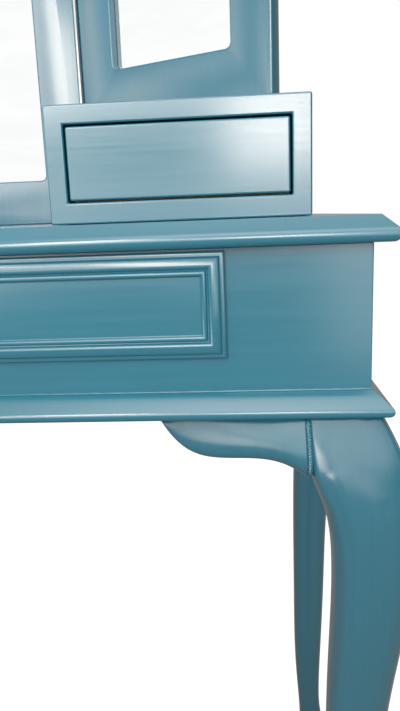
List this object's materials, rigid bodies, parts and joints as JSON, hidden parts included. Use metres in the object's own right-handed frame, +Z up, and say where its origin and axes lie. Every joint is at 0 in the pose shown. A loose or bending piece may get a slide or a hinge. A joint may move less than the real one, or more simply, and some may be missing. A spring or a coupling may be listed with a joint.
{
  "type": "dressing desk with tri-fold mirror",
  "caption": "Painted dressing desk on cabriole legs, with a moulded top, a panelled apron drawer, small drawer boxes and a mirror whose wings fold on long hinges.",
  "frame": {"origin": "on the floor under the middle of the desk", "axes": "+Z up, +X to the right of the person who sits at it, -Y toward that person"},
  "size_m": [1.111, 0.453, 1.4303],
  "materials": {
    "painted_case": "satin paint, fine horizontal brush streaks",
    "painted_moulding": "satin paint with bright lines along the raised edges",
    "painted_legs": "satin paint, streaks along the leg",
    "painted_mirror_frame": "satin paint",
    "mirror_glass": "polished",
    "hinge_steel": "satin plated",
    "drawer_wood": "bare sanded wood",
    "raw_pine": "bare wood",
    "thin_ply": "bare plywood"
  },
  "bodies": {
    "desk": {"apron_back": "painted_case", "apron_front": "painted_case", "apron_left": "painted_case", "apron_right": "painted_case", "base_rail_back": "painted_case", "base_rail_front": "painted_case", "base_rail_left": "painted_case", "base_rail_right": "painted_case", "box_back_left": "thin_ply", "box_back_right": "thin_ply", "box_case_left": "painted_case", "box_case_right": "painted_case", "centre_mirror_backing": "thin_ply", "centre_mirror_frame": "painted_mirror_frame", "centre_mirror_glass": "mirror_glass", "corner_block_back_left": "raw_pine", "corner_block_back_right": "raw_pine", "corner_block_front_left": "raw_pine", "corner_block_front_right": "raw_pine", "drawer_runner_left": "raw_pine", "drawer_runner_right": "raw_pine", "hinge_leaf_fixed_left": "hinge_steel", "hinge_leaf_fixed_right": "hinge_steel", "hinge_pin_left": "hinge_steel", "hinge_pin_right": "hinge_steel", "knee_bracket_front_left": "painted_legs", "knee_bracket_front_right": "painted_legs", "knee_bracket_side_left": "painted_legs", "knee_bracket_side_right": "painted_legs", "leg_back_left": "painted_legs", "leg_back_right": "painted_legs", "leg_front_left": "painted_legs", "leg_front_right": "painted_legs", "mirror_support_left": "painted_mirror_frame", "mirror_support_right": "painted_mirror_frame", "tabletop": "painted_case"},
    "apron_drawer": {"apron_drawer_back": "drawer_wood", "apron_drawer_bottom": "thin_ply", "apron_drawer_front": "painted_case", "apron_drawer_left": "drawer_wood", "apron_drawer_moulding": "painted_moulding", "apron_drawer_right": "drawer_wood"},
    "box_drawer_left": {"box_drawer_left_back": "drawer_wood", "box_drawer_left_bottom": "thin_ply", "box_drawer_left_front": "painted_case", "box_drawer_left_left": "drawer_wood", "box_drawer_left_right": "drawer_wood"},
    "box_drawer_right": {"box_drawer_right_back": "drawer_wood", "box_drawer_right_bottom": "thin_ply", "box_drawer_right_front": "painted_case", "box_drawer_right_left": "drawer_wood", "box_drawer_right_right": "drawer_wood"},
    "wing_left": {"wing_left_frame": "painted_mirror_frame", "wing_left_glass": "mirror_glass", "wing_left_backing": "thin_ply", "hinge_leaf_moving_left": "hinge_steel"},
    "wing_right": {"wing_right_frame": "painted_mirror_frame", "wing_right_glass": "mirror_glass", "wing_right_backing": "thin_ply", "hinge_leaf_moving_right": "hinge_steel"}
  },
  "joints": [
    {"name": "apron_drawer_slide", "type": "slide", "parent": "desk", "child": "apron_drawer", "axis": [0, -1, 0], "range_m": [0, 0.24]},
    {"name": "box_drawer_left_slide", "type": "slide", "parent": "desk", "child": "box_drawer_left", "axis": [0, -1, 0], "range_m": [0, 0.15]},
    {"name": "box_drawer_right_slide", "type": "slide", "parent": "desk", "child": "box_drawer_right", "axis": [0, -1, 0], "range_m": [0, 0.15]},
    {"name": "wing_left_hinge", "type": "hinge", "parent": "desk", "child": "wing_left", "pos_m": [-0.2721, 0.07, 1.07], "axis": [0, 0, 1], "range_deg": [-27.6, 146]},
    {"name": "wing_right_hinge", "type": "hinge", "parent": "desk", "child": "wing_right", "pos_m": [0.2721, 0.07, 1.07], "axis": [0, 0, -1], "range_deg": [-27.6, 146]}
  ]
}
